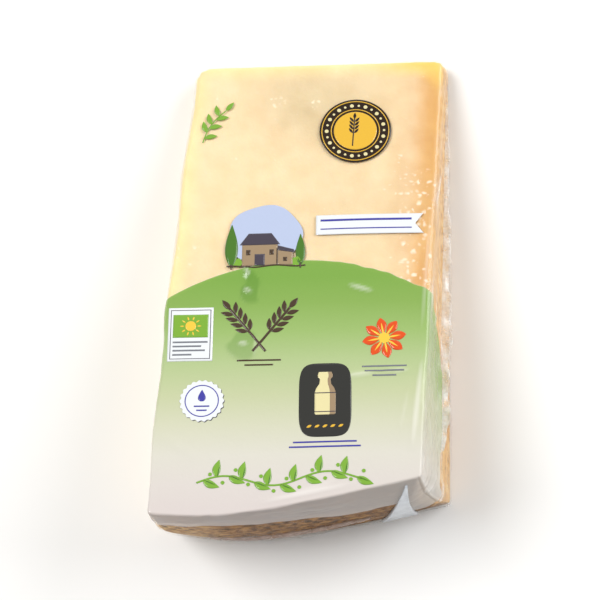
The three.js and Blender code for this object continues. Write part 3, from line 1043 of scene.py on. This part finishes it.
def makeFarm(x, reach):
    # a low barn with a lean-to and two cypresses before a patch of lavender sky
    layDisc("Lavender", "ground", x, reach + 13.2, 14.6, lobes=5, lobeDepth=0.03, stretch=0.9)
    for ink, level, corners in (
        ("Stone", "shape", ((-9, 0), (5, 0), (5, 9), (-9, 9))),
        ("Stone", "shape", ((4.7, 0), (11, 0), (11, 5.5), (4.7, 6.5))),
        ("Slate", "detail", ((-10, 9), (6, 9), (2.5, 14), (-6.5, 14))),
        ("Slate", "detail", ((5, 6.5), (11.8, 5.2), (11.4, 6.6), (5, 8.6))),
        ("Slate", "detail", ((-4, 0), (0, 0), (0, 5), (-4, 5))),
    ):
        layPatch(ink, level, [(x + across, reach + up) for across, up in corners])
    for across, up, wide, high in ((-7.4, 4.6, 1.7, 2.3), (1.8, 4.6, 1.7, 2.3), (7.2, 1.6, 1.6, 1.8)):
        layBar("Umber", "detail", x + across, reach + up, wide, high)
    for place, height in ((-13.2, 19.0), (14.0, 14.0)):
        layLeaf("DarkGreen", "shape", x + place, reach - 0.5, height, 0.27 * height, 90, fullest=0.4)
        layBar("Umber", "detail", x + place - 0.3, reach - 1.5, 0.6, 2.2)
    layBar("Umber", "top", x + 4.6, reach, 0.5, 7.4)
    for place in (-10.7, 12.4):
        layDisc("LeafGreen", "shape", x + place, reach + 1.4, 1.9, lobes=5, lobeDepth=0.08)
    ground = np.linspace(-15, 16, 50)
    layStroke("Umber", "detail", x + ground, reach - 0.3 + 0.35 * np.sin(ground / 2.7), 0.6)


def makeBanner(x, reach, width, height):
    # a bare white strip with a swallow-tailed end and two thin violet rules
    s, t = np.meshgrid(np.linspace(0, 1, cellsFor(width)), np.linspace(0, 1, 15), indexing="ij")
    layInk("White", "ground", x + s * (width + 3.2 * np.abs(2 * t - 1)), reach + t * height)
    layBar("Violet", "shape", x + 1.8, reach + 0.26 * height, width - 3.2, 0.5)
    layBar("Violet", "shape", x + 1.8, reach + 0.68 * height, width - 3.2, 0.9)


def makeSprig(ink, x, reach, length, angle, leaves):
    # a bent stem with leaves on alternate sides
    runX, runReach = polar(length, angle)
    share = np.linspace(0, 1, cellsFor(length) + 4)
    bow = 0.09 * np.sin(np.pi * share)
    stemX = x + share * runX - bow * runReach
    stemReach = reach + share * runReach + bow * runX
    layStroke(ink, "shape", stemX, stemReach, 0.5)
    for number in range(leaves):
        at = int(len(share) * (0.14 + 0.78 * number / leaves))
        side = 1 if number % 2 else -1
        turned = angle + side * 48
        layLeaf(ink, "shape", stemX[at], stemReach[at], 0.32 * length, 0.13 * length, turned, bend=0.06)
    layLeaf(ink, "shape", stemX[-1], stemReach[-1], 0.3 * length, 0.12 * length, angle - 8)


def makeSunLabel(x, reach, width, height):
    # a white card with a thin dark frame, grey rules and a green block with a plain sun
    layBar("White", "ground", x, reach, width, height)
    inset, thick = 0.9, 0.28
    far = inset + thick
    for across, along, wide, high in (
        (inset, inset, width - 2 * inset, thick), (inset, height - far, width - 2 * inset, thick),
        (inset, far, thick, height - 2 * far), (width - far, far, thick, height - 2 * far),
    ):
        layBar("Slate", "shape", x + across, reach + along, wide, high)
    layBar("LeafGreen", "shape", x + 1.9, reach + 0.44 * height, width - 3.8, 0.43 * height)
    sunX, sunReach = x + width / 2, reach + 0.655 * height
    layDisc("Yellow", "detail", sunX, sunReach, 2.1)
    for number in range(10):
        rayX, rayReach = polar(2.5, 36 * number)
        layLeaf("Yellow", "detail", sunX + rayX, sunReach + rayReach, 1.7, 0.6, 36 * number)
    for number, share in enumerate((1.0, 0.82, 0.93, 0.55)):
        layBar("Grey", "shape", x + 2, reach + 0.34 * height - 1.75 * number, share * (width - 4), 0.7)


def makeFlower(x, reach, radius):
    # a meadow flower: eight orange petals, each with a thin yellow vein, round a yellow middle
    for number in range(8):
        angle = 45 * number + 10
        outX, outReach = polar(0.1 * radius, angle)
        petal = (x + outX, reach + outReach)
        layLeaf("Orange", "ground", *petal, 0.95 * radius, 0.47 * radius, angle, fullest=0.6)
        layLeaf("Yellow", "shape", *petal, 0.7 * radius, 0.09 * radius, angle)
    layDisc("Yellow", "detail", x, reach, 0.27 * radius, lobes=8, lobeDepth=0.06)


def makeChurnTag(x, reach, width, height):
    # a dark card with well rounded corners, a pale milk churn on it and a row of gold grains
    layDisc("Black", "ground", x, reach, width / 2, stretch=height / width, power=4.5)
    # the churn is a solid of turning seen from the side: body, shoulder, neck and rim
    heights = np.array([0, 0.03, 0.52, 0.62, 0.72, 0.84, 0.86, 0.93, 1.0]) * 0.58 * height
    halves = np.array([0.9, 1.0, 1.0, 0.86, 0.56, 0.5, 0.68, 0.72, 0.6]) * 0.2 * width
    fine = np.linspace(0, heights[-1], 40)
    half = np.interp(fine, heights, halves)
    side = np.linspace(-1, 1, 11)[:, None]
    bottom = reach - 0.2 * height
    layInk("Cream", "shape", x + side * half, bottom + fine + 0 * side)
    layInk("Stone", "detail", x + lerp(0.45, 1, (side + 1) / 2) * half, bottom + fine + 0 * side)
    for place in (0.06, 0.5):
        layBar("Slate", "top", x - 0.2 * width, bottom + place * 0.58 * height, 0.4 * width, 0.35)
    for number in range(-2, 3):
        grainX = x + 0.15 * width * number - 1
        layLeaf("Gold", "shape", grainX, reach - 0.37 * height, 2.2, 1.0, 25, fullest=0.5)


def makeCloudSticker(x, reach, radius):
    # a white sticker with a scalloped edge, a violet ring, a violet drop and thin rules
    layDisc("Slate", "ground", x + 0.25, reach - 0.25, radius, lobes=22, lobeDepth=0.035)
    layDisc("White", "shape", x, reach, radius, lobes=22, lobeDepth=0.035)
    layRing("Violet", "detail", x, reach, 0.74 * radius, 0.79 * radius)
    layLeaf("Violet", "detail", x, reach - 0.04 * radius, 0.6 * radius, 0.36 * radius, 90, fullest=0.3)
    for number, share in enumerate((0.9, 0.6)):
        wide, down = 0.8 * share * radius, (0.3 + 0.2 * number) * radius
        layBar("Violet", "detail", x - wide / 2, reach - down, wide, 0.07 * radius)


def makeGarland(startX, endX, reach):
    # a vine in a long wave with leaves to both sides and berries
    x = np.linspace(startX, endX, cellsFor(endX - startX) * 2)
    wave = reach + 2.3 * np.sin((x - startX) / 6.2) + 0.03 * (x - startX)
    layStroke("LeafGreen", "shape", x, wave, 0.75)
    count = 13
    for number in range(count):
        at = int((number + 0.5) * len(x) / count)
        side = 1 if number % 2 else -1
        angle = 28 + side * 52
        layLeaf("LeafGreen", "shape", x[at], wave[at], 7.0, 3.1, angle, fullest=0.4, bend=0.05 * side)
        layLeaf("DarkGreen", "detail", x[at] + 0.6, wave[at], 4.6, 0.45, angle)
        layDisc("LeafGreen", "shape", x[at] + 2.6, wave[at] - side * 2.4, 0.75)


def makeRules(ink, x, reach, widths):
    # a few short rules, one under another and centred
    for number, width in enumerate(widths):
        layBar(ink, "ground", x - width / 2, reach - 1.9 * number, width, 0.65)


def makePrint():
    makeRoundel(-24.5, 159.5, 14.4)
    makeFarm(-60.0, 100.5)
    makeBanner(-40.0, 113.0, 39.0, 8.6)
    makeSprig("LeafGreen", -86.0, 156.0, 17.0, 58, 6)
    makeWheatEar("Umber", "shape", -64.0, 64.0, 27.0, 52, 4)
    makeWheatEar("Umber", "shape", -59.0, 64.0, 27.0, 128, 4)
    makeRules("Umber", -61.5, 60.0, (17, 11))
    makeSunLabel(-97.0, 60.5, 17.5, 22.5)
    makeFlower(-13.5, 68.5, 8.2)
    makeRules("Grey", -13.5, 56.5, (17, 15, 9))
    makeChurnTag(-36.0, 43.5, 20.0, 30.0)
    makeRules("Violet", -36.0, 26.2, (24, 27))
    makeCloudSticker(-83.0, 44.0, 8.3)
    makeGarland(-84.0, -22.0, 11.0)
    for ink, sheets in inkSheets.items():
        points, quads, crisp = (np.concatenate(sheets[title]) for title in ("points", "quads", "crisp"))
        material = makePrintingInk("ink" + ink, inkColours[ink])
        makePiece("print" + ink, points, quads, material, crisp=crisp)


makePrint()
print("print made")


# Floor, light and camera

studio = {
    "floor": "#F4F3F1",
    "world": "#FFFFFF",
    "worldStrength": 0.42,
    # a light's direction, how wide it looks and its strength
    "key": ((-0.6, 0.32, 0.86), 34, 2.2),
    "fill": ((0.8, 0.42, 0.5), 44, 2.0),
}
view = {
    "place": (0.061506, -0.071984, 0.850),
    "turn": (4.794, 4.435, -0.961),
    "lens": 125.44,  # on a 36 mm sensor
}


def makeFloor():
    # matt painted board
    material, tree = newMaterial("mattBoard")
    shader = addNode(
        tree, "ShaderNodeBsdfPrincipled",
        {"Base Color": toLinear(studio["floor"]), "Roughness": 0.8, "IOR": 1.45},
    )
    addNode(tree, "ShaderNodeOutputMaterial", {"Surface": shader})
    mesh = bpy.data.meshes.new("floor")
    half = 6.0
    corners = [(-half, -half, 0), (half, -half, 0), (half, half, 0), (-half, half, 0)]
    mesh.from_pydata(corners, [], [(0, 1, 2, 3)])
    mesh.materials.append(material)
    addObject("floor", mesh)


def addSoftLight(name, direction, width, strength):
    # a wide far lamp, so that the floor is lit evenly
    lamp = bpy.data.lights.new(name, "SUN")
    lamp.angle = math.radians(width)
    lamp.energy = strength
    holder = addObject(name, lamp)
    holder.location = direction
    holder.rotation_euler = holder.location.to_track_quat("Z", "Y").to_euler()


def makeStudio():
    scene = bpy.context.scene
    makeFloor()
    addSoftLight("key", *studio["key"])
    addSoftLight("fill", *studio["fill"])
    world = bpy.data.worlds.new("studio")
    world.use_nodes = True
    background = world.node_tree.nodes["Background"]
    background.inputs["Color"].default_value = toLinear(studio["world"])
    background.inputs["Strength"].default_value = studio["worldStrength"]
    scene.world = world
    scene.view_settings.view_transform = "Standard"
    lens = bpy.data.cameras.new("camera")
    lens.lens = view["lens"]
    lens.sensor_width = 36
    camera = addObject("camera", lens)
    camera.location = view["place"]
    camera.rotation_euler = [math.radians(angle) for angle in view["turn"]]
    scene.camera = camera


makeStudio()
print("studio made")
